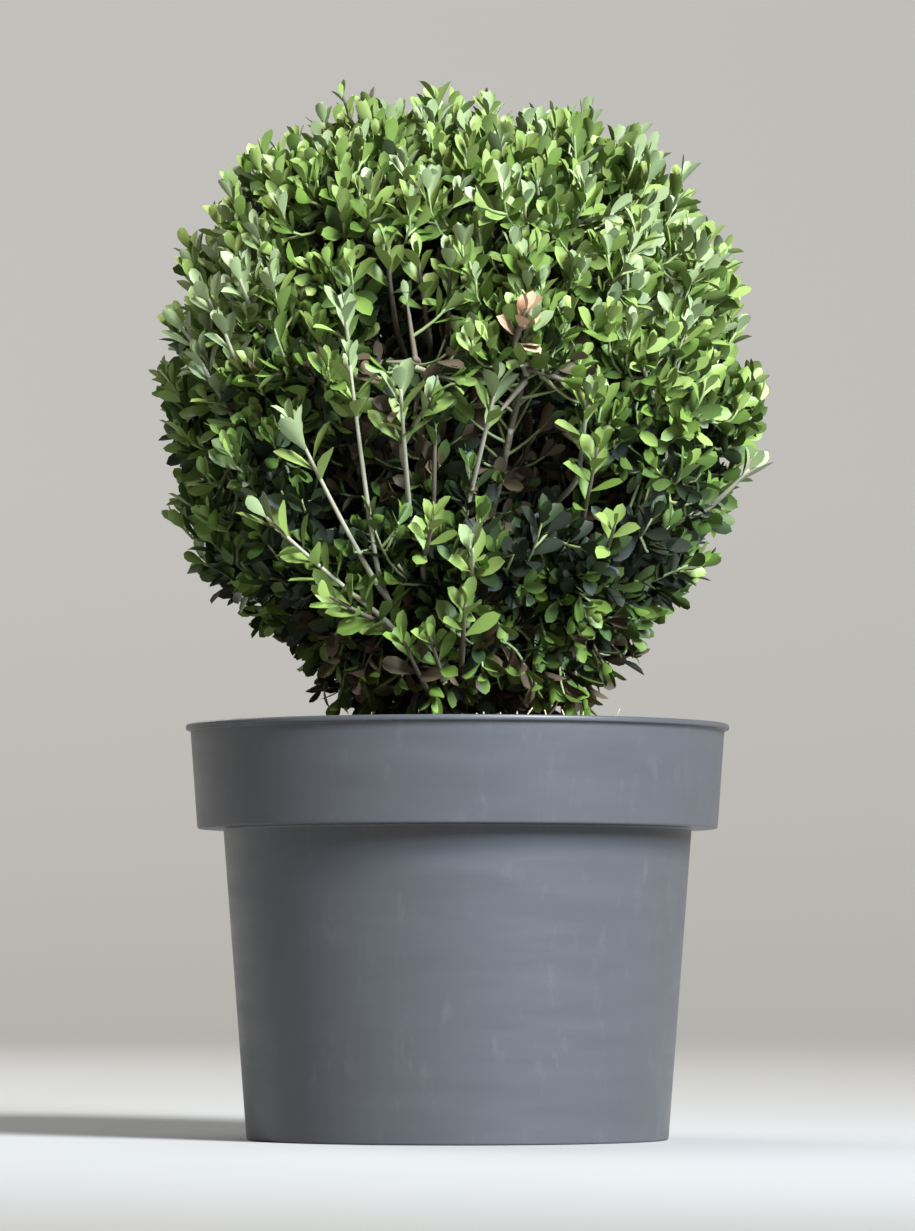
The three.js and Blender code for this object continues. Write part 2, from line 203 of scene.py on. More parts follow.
# Leaves at their real size, each varied within a range
LEAF_LENGTH = 0.0142
LEAF_LENGTHS = (0.84, 1.16)
LEAF_WIDTH = 0.0064
LEAF_WIDTHS = (0.86, 1.14)
LEAF_STEP = 0.0028
LEAF_STEPS = (0.9, 1.1)
LEAF_SUNK = 0.0006
LEAF_FOLDS = (0.15, 0.60)
LEAF_CURLS = (-0.1364, 0.0836)
LEAF_LIFT = 0.22
LEAF_TWIST = 0.25
LEAF_MIDDLE = 0.6
SKIRT_DROOP = 0.002

# How far a leaf leans from its shoot, in degrees, and how grown it is, from the tip down
TIP_LEAN = 10
FIRST_LEAN = 20
LEAN_STEP = 6
MOST_LEAN = 60
LEAN_SCATTER = 16
TIP_AGE = 0.62
AGE_STEP = 0.11

# How light a spray is, and what a side spray loses, inward for each metre. The tone is painted
# light and shade: lighter higher up and on tufts, darker in gaps, and darker for side sprays
# further in.
MIDDLE_TONE = 0.42
TONE_RISE = 0.24
TONE_ON_TUFT = 0.10
TONE_SCATTER = 0.26
SPRAY_DARKER = 0.06
INWARD_DARKER = 6
SIDE_SPRAY_DARKER = 0.12

# How much lighter or darker a leaf is than its spray, from the tip down: paler new leaves at the
# tip, and darker older leaves lower down, which also paint shade further into the crown
TIP_TONES = [0.26, 0.26, 0.22, 0.14, 0.04, -0.08, -0.18, -0.26, -0.32]

# Rings of foliage masses, in the solids' order and with their places and spaces
RING_FIELDS = "ring count elevation first step spread depth twigs fork fork_step thick".split()
RINGS = [dict(zip(RING_FIELDS, row)) for row in [
    ("upper", 5, 40, -62, 72, 30, 0.66, 9, 0.236, 0.005, 0.0028),
    ("side", 5, -4, -27, 59.25, 31, 0.7, 9, 0.210, 0.005, 0.0028),
    ("front", 3, 1, -124, 25, 14, 0.78, 4, 0.194, 0.006, 0.0021),
    ("low", 5, -60, -90, 72, 32, 0.76, 13, 0.178, 0.003, 0.0025),
]]
TOP_MASS = dict(ring="top", elevation=88, azimuth=-60, spread=27, depth=0.6, twigs=9)

# The front's hollows, patches, shoots and stub are given in millimetres
PER_METRE = 1000

# Hollows in the front of the crown: balls that no leaf or finer shoot of the masses grows in
HOLLOWS = np.array([
    (27, -112, 297, 23),
    (28, -88, 292, 20),
    (-31, -120, 331, 15),
    (-13, -120, 331, 15),
    (-22, -98, 330, 20),
    (-23, -124, 312, 14),
    (-6, -106, 283, 15),
    (-48, -106, 274, 17),
    (-40, -90, 270, 12),
    (-66, -108, 304, 13),
    (25, -108, 228, 12),
    (-28, -98, 238, 12),
    (66, -66, 398, 11),
]) / PER_METRE

# Painted light and shade on parts of the front, each lighter or darker: their middles, sizes and
# how much
PAINTED_LIGHT_AND_SHADE = [
    ((80, -85, 352), 70, 0.30),
    ((5, -110, 238), 30, 0.18),
    ((-10, -120, 345), 50, 0.10),
    ((50, -85, 214), 18, 0.34),
    ((-97, -70, 332), 36, 0.50),
    ((-70, -80, 400), 50, 0.04),
    ((-60, -80, 402), 18, -0.30),
    ((-68, -100, 312), 18, -0.24),
    ((-75, -98, 264), 32, -0.28),
    ((78, -90, 250), 50, -0.40),
    ((28, -104, 242), 20, -0.60),
    ((-80, -80, 235), 30, -0.18),
    ((-40, -76, 200), 30, -0.26),
    ((0, -60, 188), 50, 0.06),
]

# Shoots that show singly in front: root, tip, number of leaves, their size and their tone, which
# also paints their light and shade
SHOWN_SHOOTS = [
    ((-38, -86, 238), (-66, -110, 292), 8, 1.3, 0.92),
    ((-34, -84, 242), (-44, -114, 319), 9, 1.1, 0.88),
    ((-20, -84, 262), (-23, -121, 306), 9, 1.3, 0.90),
    ((-22, -100, 286), (-11, -118, 303), 5, 1.15, 0.90),
    ((6, -86, 270), (16, -112, 310), 8, 1.15, 0.94),
    ((-10, -78, 262), (-9, -98, 292), 4, 1.0, 0.40),
    ((-34, -74, 219), (-78, -96, 256), 24, 1.3, 0.85),
    ((-30, -70, 214), (-52, -93, 224), 10, 1.3, 0.66),
    ((106, -42, 265), (121, -52, 279), 4, 1.3, 0.90),
    ((-14, -90, 238), (-10, -118, 254), 9, 1.05, 0.78),
    ((6, -88, 226), (6, -116, 242), 8, 1.15, 0.86),
    ((2, -76, 204), (3, -100, 220), 8, 1.25, 0.72),
    ((-43, -100, 314), (-46, -118, 340), 6, 1.25, 0.92),
    ((60, -80, 240), (64, -104, 252), 6, 1.05, 0.72),
    ((-6, -62, 192), (-11, -92, 207), 9, 1.1, 0.55),
    ((-14, -62, 190), (-22, -90, 206), 9, 1.1, 0.45),
    ((22, -98, 318), (30, -120, 334), 8, 1.15, 0.92),
    ((-12, -88, 334), (-16, -110, 360), 9, 1.1, 0.72),
    ((-4, -86, 334), (-3, -114, 359), 9, 1.1, 0.84),
    ((-42, -30, 420), (-48, -34, 438), 5, 0.80, 0.60),
    # Pale shoots on the left, whose high tone paints light on that side of the crown
    ((-90, -62, 296), (-106, -78, 322), 10, 1.1, 0.95),
    ((-84, -66, 304), (-96, -90, 334), 10, 1.1, 0.95),
    ((-88, -62, 322), (-104, -78, 350), 10, 1.1, 0.95),
    ((-78, -70, 328), (-90, -94, 356), 10, 1.1, 0.95),
    ((-92, -58, 310), (-115, -64, 338), 10, 1.1, 0.95),
    ((-26, -86, 340), (-29, -110, 366), 8, 1.1, 0.78),
    ((52, -78, 258), (57, -104, 284), 10, 1.1, 0.66),
    ((50, -78, 276), (53, -108, 304), 10, 1.1, 0.86),
]
SHOWN_STEP = 0.0038
SHOWN_FADE = 0.35
SHOWN_TIP_RADIUS = 0.0007
SHOWN_SIDES = 6
SHOWN_DROP = 0.035
SHOWN_LOWEST = TRUNK_FOOT + 0.012
SHOWN_HIGHEST = TRUNK_TIP_HEIGHT - 0.005
SHOWN_RUN_IN = 0.4
SHOWN_BOW = np.array([0, -0.1, -0.04])
SHADED_BELOW = 0.845

# How far a leaf's tip may pass the crown: a shown shoot's, any other's, and at the widest
SHOWN_OVER = 0.016
CROWN_OVER = 0.007
WIDEST_OVER = 0.001

# The pruned stub in the front, whose few leaves are dry
STUB = ((20, -104, 320), (28, -125, 338))
STUB_RADII = (0.0017, 0.0013)
STUB_LEAVES = 9

# Leaf tints from shaded old leaves to the newest tips, then dry leaves. Chosen by tone, the darker
# tints also paint shade inside and low in the crown, and the lightest, leaf_pale, paints
# highlights.
LEAF_TINTS = [
    ("leaf_shaded", (0.012, 0.017, 0.009), 0.55),
    ("leaf_deep", (0.024, 0.040, 0.014), 0.50),
    ("leaf_green", (0.056, 0.096, 0.019), 0.46),
    ("leaf_fresh", (0.112, 0.182, 0.032), 0.46),
    ("leaf_light", (0.166, 0.240, 0.057), 0.46),
    ("leaf_lime", (0.194, 0.258, 0.070), 0.48),
    ("leaf_pale", (0.222, 0.278, 0.134), 0.46),
    ("leaf_dry", (0.085, 0.062, 0.036), 0.60),
    ("leaf_tan", (0.520, 0.340, 0.220), 0.60),
]
LEAF_SPECULAR = 0.32
BRIGHT_TINT = 3
LIGHTEST_TINT = 6
DRY_TINT = 7
TAN_TINT = 8
DRY = -1
DRY_BELOW = 0.214
DRY_SHARE = 0.55

# Added to the seed of a mass
SHADE_SEED = 7
FINE_SEED = 31
INNER_SEED = 63

UP = np.array([0.0, 0.0, 1.0])


def unit(vector):
    return vector / norm(vector)


def lerp(start, end, share):
    return start + (end - start) * share


def heading(azimuth, elevation):
    level = cos(radians(elevation))
    turn = radians(azimuth)
    return np.array([level * cos(turn), level * sin(turn), sin(radians(elevation))])


def angle_between(one, other):
    return acos(max(-1.0, min(1.0, float(unit(one) @ unit(other)))))


def square_to(axis):
    """Two unit vectors square to an axis."""
    helper = UP if abs(axis[2]) < 0.9 else np.array([1.0, 0.0, 0.0])
    side = unit(np.cross(axis, helper))
    return side, np.cross(axis, side)


def outward_from(axis, turn):
    """A unit vector square to an axis, turned about it."""
    across, over = square_to(axis)
    return across * cos(turn) + over * sin(turn)


def lengths_along(route):
    """How far along a route each of its points is."""
    return np.concatenate([[0], np.cumsum(norm(np.diff(route, axis=0), axis=1))])


def random_from(seed, factor=1664525, step=1013904223, span=2 ** 32):
    """The same random numbers from the same seed, each from 0 to 1."""
    state = seed

    def draw():
        nonlocal state
        state = (state * factor + step) % span
        return state / span

    return draw


def shade_of(share):
    """One of three shades, by a share from 0 to 1."""
    return int(2.99 * share)


def bezier(start, control, end, steps):
    share = np.linspace(0, 1, steps + 1)[:, None]
    return (1 - share) ** 2 * start + 2 * share * (1 - share) * control + share ** 2 * end


# Pieces and their materials

def new_object(name, data):
    thing = bpy.data.objects.new(name, data)
    bpy.context.scene.collection.objects.link(thing)
    return thing


def add_piece(name, corners, face_sets, materials, looks=None, replaced=()):
    """A smooth mesh on the plant's body, from arrays of faces with one size in each array."""
    sizes = np.concatenate([np.full(len(faces), faces.shape[1]) for faces in face_sets])
    mesh = bpy.data.meshes.new(name)
    mesh.vertices.add(len(corners))
    mesh.vertices.foreach_set("co", np.asarray(corners, np.float32).ravel())
    mesh.loops.add(int(sizes.sum()))
    loops = np.concatenate([faces.ravel() for faces in face_sets])
    mesh.loops.foreach_set("vertex_index", loops.astype(np.int32))
    mesh.polygons.add(len(sizes))
    starts = np.concatenate([[0], np.cumsum(sizes)[:-1]])
    mesh.polygons.foreach_set("loop_start", starts.astype(np.int32))
    for material in materials:
        mesh.materials.append(material)
    if looks is not None:
        mesh.polygons.foreach_set("material_index", np.asarray(looks, np.int32))
    mesh.update(calc_edges=True)
    mesh.validate()
    mesh.shade_smooth()
    piece = new_object(name, mesh)
    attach(piece, BODY)
    if replaced:
        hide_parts(*replaced)
    return piece


def new_material(name, colour, roughness, specular=0.5):
    """A material of one plain colour, and its shader."""
    material = bpy.data.materials.new(name)
    material.use_nodes = True
    shader = material.node_tree.nodes["Principled BSDF"]
    shader.inputs["Base Color"].default_value = (*colour, 1)
    shader.inputs["Roughness"].default_value = roughness
    shader.inputs["Specular IOR Level"].default_value = specular
    return material, shader


def plain_materials(rows):
    """Plain materials, from rows of name, colour, roughness and specular."""
    return [new_material(*row)[0] for row in rows]


def feed(value, socket):
    """Links a value to the socket that it drives."""
    socket.id_data.links.new(value, socket)


def add_noise(material, scale, detail=4.0, stretch=(1, 1, 1), roughness=0.55):
    """A noise texture in object space, stretched along the axes."""
    nodes = material.node_tree.nodes
    place = nodes.new("ShaderNodeTexCoord")
    mapping = nodes.new("ShaderNodeMapping")
    mapping.inputs["Scale"].default_value = stretch
    texture = nodes.new("ShaderNodeTexNoise")
    texture.inputs["Scale"].default_value = scale
    texture.inputs["Detail"].default_value = detail
    texture.inputs["Roughness"].default_value = roughness
    feed(place.outputs["Object"], mapping.inputs["Vector"])
    feed(mapping.outputs["Vector"], texture.inputs["Vector"])
    return texture.outputs["Fac"]


def add_ramp(material, value, stops):
    """A ramp of colours or greys over a value, as (position, colour) stops."""
    ramp = material.node_tree.nodes.new("ShaderNodeValToRGB")
    elements = ramp.color_ramp.elements
    while len(elements) < len(stops):
        elements.new(0.5)
    for element, (position, colour) in zip(elements, stops):
        element.position = position
        element.color = (*colour, 1) if len(colour) == 3 else (colour[0],) * 3 + (1,)
    feed(value, ramp.inputs["Fac"])
    return ramp.outputs["Color"]


def add_mix(material, share, first, second):
    """First turns into second as share goes from 0 to 1."""
    mix = material.node_tree.nodes.new("ShaderNodeMix")
    mix.data_type = "RGBA"
    feed(share, mix.inputs["Factor"])
    feed(first, mix.inputs["A"])
    feed(second, mix.inputs["B"])
    return mix.outputs["Result"]


def add_bump(material, shader, height, strength, distance):
    bump = material.node_tree.nodes.new("ShaderNodeBump")
    bump.inputs["Strength"].default_value = strength
    bump.inputs["Distance"].default_value = distance
    feed(height, bump.inputs["Height"])
    feed(bump.outputs["Normal"], shader.inputs["Normal"])


def pot_material():
    """Satin anthracite plastic: faint clouding, fine grain and a little dust."""
    material, shader = new_material("moulded_plastic", (0.056, 0.057, 0.064), 0.40, specular=0.40)
    clouds = add_noise(material, 16, detail=4, stretch=(1, 1, 7))
    body = add_ramp(material, clouds, [(0.3, (0.053, 0.054, 0.060)), (0.7, (0.060, 0.061, 0.068))])
    dust = add_noise(material, 140, detail=6, stretch=(1, 1, 0.35), roughness=0.7)
    share = add_ramp(material, dust, [(0.56, (0.0,)), (0.8, (0.3,))])
    pale = add_ramp(material, clouds, [(0.0, (0.12, 0.12, 0.12)), (1.0, (0.145, 0.145, 0.145))])
    feed(add_mix(material, share, body, pale), shader.inputs["Base Color"])
    rough = add_ramp(material, clouds, [(0.3, (0.34,)), (0.7, (0.46,))])
    feed(rough, shader.inputs["Roughness"])
    grain = add_noise(material, 1500, detail=2)
    add_bump(material, shader, grain, 0.12, 0.0002)
    return material


def soil_material():
    """Dark crumbly medium with paler flecks."""
    material, shader = new_material("growing_medium", (0.05, 0.032, 0.02), 0.95, specular=0.2)
    crumbs = add_noise(material, 320, detail=8, roughness=0.7)
    colour = add_ramp(material, crumbs, [
        (0.3, (0.016, 0.01, 0.007)), (0.55, (0.05, 0.031, 0.019)), (0.75, (0.16, 0.1, 0.058)),
    ])
    feed(colour, shader.inputs["Base Color"])
    add_bump(material, shader, crumbs, 0.8, 0.0012)
    return material


def bark_material():
    """Grey-brown bark with fine fissures along the limb and a greener cast in places."""
    material, shader = new_material("bark_relief", (0.19, 0.165, 0.12), 0.85, specular=0.3)
    fissures = add_noise(material, 520, detail=7, stretch=(1, 1, 0.22), roughness=0.65)
    brown = add_ramp(material, fissures, [
        (0.3, (0.055, 0.042, 0.028)), (0.5, (0.17, 0.145, 0.1)), (0.72, (0.34, 0.31, 0.23)),
    ])
    green = add_ramp(material, fissures, [
        (0.3, (0.06, 0.062, 0.034)), (0.52, (0.185, 0.2, 0.115)), (0.74, (0.36, 0.38, 0.25)),
    ])
    patches = add_noise(material, 60, detail=3)
    share = add_ramp(material, patches, [(0.42, (0.0,)), (0.62, (1.0,))])
    feed(add_mix(material, share, brown, green), shader.inputs["Base Color"])
    add_bump(material, shader, fissures, 0.7, 0.0005)
    return material


LEAF_MATERIALS = plain_materials([(*tint, LEAF_SPECULAR) for tint in LEAF_TINTS])
# The first bark is old wood, and is also painted shade on twigs in hollows and on shoots in shade
TWIG_MATERIALS = plain_materials([
    ("twig_old_and_shaded", (0.115, 0.095, 0.065), 0.8, 0.3),
    ("twig_grey", (0.27, 0.26, 0.185), 0.75, 0.3),
    ("twig_green", (0.22, 0.27, 0.11), 0.6, 0.4),
])
TWIG_OLD_AND_SHADED, TWIG_GREY, TWIG_GREEN = range(3)


# Limbs: the trunk's own curve, and the boughs from it

def smoothstep(share):
    share = max(0.0, min(1.0, share))
    return share * share * (3 - 2 * share)


def trunk_share(height):
    return (height - TRUNK_FOOT) / (TRUNK_TIP_HEIGHT - TRUNK_FOOT)


def trunk_centre(height):
    lean = smoothstep(trunk_share(height))
    return np.array([TRUNK_LEAN[0] * lean, TRUNK_LEAN[1] * lean, height])


def trunk_radius(height):
    spread = exp((TRUNK_FOOT - height) / TRUNK_FLARE_HEIGHT)
    taper = lerp(TRUNK_RADIUS, TRUNK_TIP_RADIUS, trunk_share(height))
    return taper + (TRUNK_FLARE_RADIUS - TRUNK_RADIUS) * spread


def crown_reach(along):
    """How far foliage reaches from the crown's centre along a heading."""
    level = hypot(along[0], along[1])
    rise = abs(along[2])
    ball = ((level / CROWN_RADIUS) ** CROWN_SQUARENESS
            + (rise / CROWN_HALF_HEIGHT) ** CROWN_SQUARENESS) ** (-1 / CROWN_SQUARENESS)
    if along[2] >= 0:
        return ball
    depth = CROWN_CENTRE[2] - SKIRT_FOOT
    cone = (SKIRT_FOOT_RADIUS + SKIRT_SLOPE * depth) / (level + SKIRT_SLOPE * rise)
    return max(ball, min(cone, depth / rise))


def all_masses():
    """The foliage masses in the solids' order, with their boughs."""
    masses = [SimpleNamespace(**TOP_MASS, name="top")]
    for ring in RINGS:
        for k in range(ring["count"]):
            masses.append(SimpleNamespace(
                **ring,
                name=f"{ring['ring']}_{k + 1}",
                azimuth=ring["first"] + ring["step"] * k,
            ))
            masses[-1].fork += ring["fork_step"] * k
    for index, mass in enumerate(masses):
        mass.seed = 1009 * (index + 1)
        mass.toward = heading(mass.azimuth, mass.elevation)
        mass.middle = CROWN_CENTRE + mass.toward * mass.depth * crown_reach(mass.toward)
        if mass.ring == "top":
            mass.stem_start = trunk_centre(TRUNK_TIP_HEIGHT + GAP)
            mass.stem_radius = TRUNK_TIP_RADIUS
            mass.bough = None
        else:
            mass.bough = bough_of(mass)
            mass.stem_start = mass.bough.route[-1]
            mass.stem_radius = mass.bough.radii[-1]
    return masses


def bough_of(mass):
    start = trunk_centre(mass.fork)
    end = mass.middle - unit(mass.middle - start) * STEM_LENGTH
    control = start + (end - start) * BOUGH_BOW
    route = bezier(start, control, end, BOUGH_STEPS)
    radii = [mass.thick * (1 - BOUGH_TAPER * i / BOUGH_STEPS) for i in range(BOUGH_STEPS + 1)]
    return SimpleNamespace(start=start, control=control, end=end, route=route, radii=radii)


MASSES = all_masses()
BOUGHS = [mass.bough for mass in MASSES if mass.bough]


def inside_by(point, mass):
    """Clearance of a point from the edge of a mass's own space, negative outside it."""
    offset = point - CROWN_CENTRE
    away = norm(offset)
    own = angle_between(offset, mass.toward) - radians(mass.spread)
    clear = -own * away
    for other in MASSES:
        if other is not mass:
            theirs = angle_between(offset, other.toward) - radians(other.spread)
            clear = min(clear, (theirs - own) * away / 2)
    return clear


def mass_reach(along, mass):
    share = angle_between(along, mass.toward) / radians(mass.spread)
    return crown_reach(along) * (1 - CLUMP_DIP * min(share, 1) ** 2)


def limb_clearance(start, end, mass):
    """Distance from a stretch of twig to the surface of the nearest limb but its own bough."""
    centres = [trunk_centre(TRUNK_FOOT + height) for height in TRUNK_RINGS]
    radii = [trunk_radius(TRUNK_FOOT + height) for height in TRUNK_RINGS]
    for bough in BOUGHS:
        if bough is not mass.bough:
            centres.extend(bough.route)
            radii.extend(bough.radii)
    span = end - start
    offsets = np.array(centres) - start
    shares = np.clip(offsets @ span / (span @ span), 0, 1)
    return (norm(offsets - shares[:, None] * span, axis=1) - radii).min()


# Bark relief on the limbs

def tube_rings(route, radii, sides):
    """Centres, outward directions and radii of the corners round a route."""
    ahead = np.gradient(route, axis=0)
    ahead /= norm(ahead, axis=1)[:, None]
    side = square_to(ahead[0])[0]
    turns = 2 * pi * np.arange(sides) / sides
    outward = []
    for along in ahead:
        side = unit(side - along * (side @ along))
        across = np.cross(along, side)
        outward.append(np.cos(turns)[:, None] * side + np.sin(turns)[:, None] * across)
    return np.array(outward), np.asarray(radii)[:, None] * np.ones(sides)


def tube_faces(rings, sides):
    """The four-cornered faces between rings of corners."""
    first = (np.arange(rings - 1) * sides)[:, None]
    low = first + np.arange(sides)
    after = first + (np.arange(sides) + 1) % sides
    return np.stack([low, after, after + sides, low + sides], axis=-1).reshape(-1, 4)


def closed_faces(rings, sides):
    """The faces between rings, and fans that close their ends on the two corners after them."""
    k = np.arange(sides)
    after = (k + 1) % sides
    count = rings * sides
    top = count - sides
    start = np.stack([after, k, np.full(sides, count)], axis=-1)
    end = np.stack([top + k, top + after, np.full(sides, count + 1)], axis=-1)
    return [tube_faces(rings, sides), np.concatenate([start, end])]


def add_limb(name, route, radii, replaced, sides, relief, lobes=0.0):
    """A limb with ridges along it, knots, and lobes where it flares at its foot."""
    outward, reach = tube_rings(route, radii, sides)
    corners = []
    for i, (centre, length) in enumerate(zip(route, lengths_along(route))):
        foot = lobes * exp(-length / LOBE_FADE)
        for k in range(sides):
            turn = 2 * pi * k / sides
            place = Vector(centre + outward[i, k] * reach[i, k])
            ridge = Vector((place.x * FISSURE_SCALE, place.y * FISSURE_SCALE,
                            place.z * FISSURE_SCALE_ALONG))
            fissures = noise.fractal(ridge, *FISSURE_FRACTAL)
            knots = noise.noise(place * KNOT_SCALE)
            swell = (relief * (FISSURE_RELIEF * fissures + KNOT_RELIEF * knots)
                     + foot * cos(LOBE_COUNT * turn + LOBE_TURN))
            corners.append(centre + outward[i, k] * reach[i, k] * (1 + swell))
    corners += [route[0], route[-1]]
    add_piece(name, np.array(corners), closed_faces(len(route), sides), [BARK],
              replaced=replaced)


def add_trunk():
    """The trunk with its flare, in finer steps near its foot."""
    foot_top = TRUNK_FOOT + 0.02
    next_ring = TRUNK_FOOT + 0.0225
    heights = np.concatenate([
        np.linspace(TRUNK_FOOT - TRUNK_SUNK, foot_top, num=16),
        np.linspace(next_ring, TRUNK_TIP_HEIGHT, num=46),
    ])
    route = np.array([trunk_centre(height) for height in heights])
    radii = [trunk_radius(max(height, TRUNK_FOOT)) for height in heights]
    add_limb("trunk_bark", route, radii, ["trunk"], sides=28, relief=1.0, lobes=0.14)


def add_bough(mass):
    """A bough with a collar where it leaves the trunk."""
    bough = mass.bough
    steps = 34
    route = bezier(bough.start, bough.control, bough.end, steps)
    share = np.linspace(0, 1, steps + 1)
    out = np.maximum(lengths_along(route) - TRUNK_RADIUS, 0)
    collar = 1 + COLLAR_SWELL * np.exp(-out / COLLAR_FADE)
    radii = mass.thick * (1 - BOUGH_TAPER * share) * collar
    name = f"bough_{mass.name}"
    add_limb(f"{name}_bark", route, radii, [name], sides=14, relief=1.3)


# Twigs, leaves and mulch, gathered until they become joined pieces

class Growth:
    def __init__(self):
        self.parts = []
        self.corner_count = 0
        self.leaves = []

    def add_part(self, corners, faces, look):
        self.parts.append((corners, faces + self.corner_count, np.full(len(faces), look)))
        self.corner_count += len(corners)

    def add_twig(self, route, start_radius, end_radius, look, sides=5):
        """A tapering twig with a pointed tip."""
        route = np.asarray(route)
        radii = np.linspace(start_radius, end_radius, len(route))
        outward, reach = tube_rings(route, radii, sides)
        rings = route[:, None, :] + outward * reach[:, :, None]
        tip = route[-1] + unit(route[-1] - route[-2]) * end_radius
        quads = tube_faces(len(route), sides)
        last = len(route) * sides
        k = np.arange(sides)
        cap = np.stack([last - sides + k, last - sides + (k + 1) % sides, np.full(sides, last)], -1)
        self.add_part(np.concatenate([rings.reshape(-1, 3), tip[None]]),
                      np.concatenate([quads[:, [0, 1, 2]], quads[:, [0, 2, 3]], cap]), look)

    def join_parts(self, name, materials, replaced=()):
        corners, faces, looks = (np.concatenate(each) for each in zip(*self.parts))
        add_piece(name, corners, [faces], materials, looks=looks, replaced=replaced)

    def finish(self, name, replaced):
        """Joins the twigs into one piece and the leaves into another, and counts the leaves."""
        self.join_parts(f"twigs_{name}", TWIG_MATERIALS, replaced)
        corners, faces, looks = leaf_meshes(np.array(self.leaves))
        add_piece(f"leaves_{name}", corners, [faces], LEAF_MATERIALS,
                  looks=looks, replaced=replaced)
        return len(self.leaves)


# A leaf's corners as (share of its length, share of its half width), from root to tip
LEAF_ROWS = [(0.2, 0.36), (0.42, 0.80), (0.66, 1.0), (0.87, 0.74)]


def leaf_template():
    places = [(0.0, 0.0)]
    for share, half in LEAF_ROWS:
        places += [(share, -half), (share, 0.0), (share, half)]
    places.append((1.0, 0.0))
    faces = [(0, 2, 1), (0, 3, 2)]
    for row in range(len(LEAF_ROWS) - 1):
        left = 1 + 3 * row
        for k in (left, left + 1):
            faces += [(k, k + 1, k + 4), (k, k + 4, k + 3)]
    tip = len(places) - 1
    faces += [(tip - 3, tip - 2, tip), (tip - 2, tip - 1, tip)]
    return np.array(places), np.array(faces)


def leaf_meshes(leaves):
    """Corners, faces and looks of all leaves in an array, folded and curled each its own way."""
    places, faces = leaf_template()
    root, along, upward = leaves[:, 0:3], leaves[:, 3:6], leaves[:, 6:9]
    length, width, fold, curl = leaves[:, 9:13].T[:, :, None]
    across = np.cross(along, upward)
    share, half = places[:, 0], places[:, 1]
    forward = length * share - LEAF_SUNK * (share == 0)
    sideways = width / 2 * half
    lift = np.abs(sideways) * fold + length * curl * share ** 2
    corners = (root[:, None, :] + along[:, None, :] * forward[:, :, None]
               + across[:, None, :] * sideways[:, :, None] + upward[:, None, :] * lift[:, :, None])
    first = np.arange(len(leaves))[:, None, None] * len(places)
    looks = np.repeat(leaves[:, 13].astype(int), len(faces))
    return corners.reshape(-1, 3), (faces + first).reshape(-1, 3), looks


def in_hollow(point):
    return any(norm(point - ball[:3]) < ball[3] for ball in HOLLOWS)


def tuft(along):
    """Relief of the crown's surface by heading, below 0 in a gap and above 0 on a tuft."""
    place = Vector(along) * (CROWN_RADIUS / TUFT_SIZE)
    return max(-1.0, min(1.0, TUFT_GAIN * noise.noise(place) + TUFT_BIAS))


def spray_tone(point, draw):
    """How light the leaves of a spray are, from 0 to 1, by its place in the crown: painted light
    higher up and on tufts, painted shade lower down and in gaps, the patches of painted light and
    shade, and a random scatter.
    """
    rise = (point[2] - CROWN_CENTRE[2]) / CROWN_HALF_HEIGHT
    tone = (MIDDLE_TONE + TONE_RISE * rise + TONE_ON_TUFT * tuft(unit(point - CROWN_CENTRE))
            + TONE_SCATTER * (draw() - 0.5))
    for middle, size, gain in PAINTED_LIGHT_AND_SHADE:
        away = norm(point * PER_METRE - middle)
        tone += gain * exp(-(away / size) ** 2)
    return tone


def tint_of(tone):
    return int(max(0, min(LIGHTEST_TINT, round(tone * LIGHTEST_TINT))))


def point_back(route, back):
    """The point a distance back from a route's tip, and the heading there."""
    for i in range(len(route) - 1, 0, -1):
        span = route[i] - route[i - 1]
        length = norm(span)
        if back <= length or i == 1:
            along = span / length
            return route[i] - along * min(back, length), along
        back -= length


def from_widest(rise):
    """0 at the height where the crown is widest, 1 well above and below it."""
    return smoothstep((abs(rise) / CROWN_HALF_HEIGHT - WIDEST_BAND) / WIDEST_FADE)


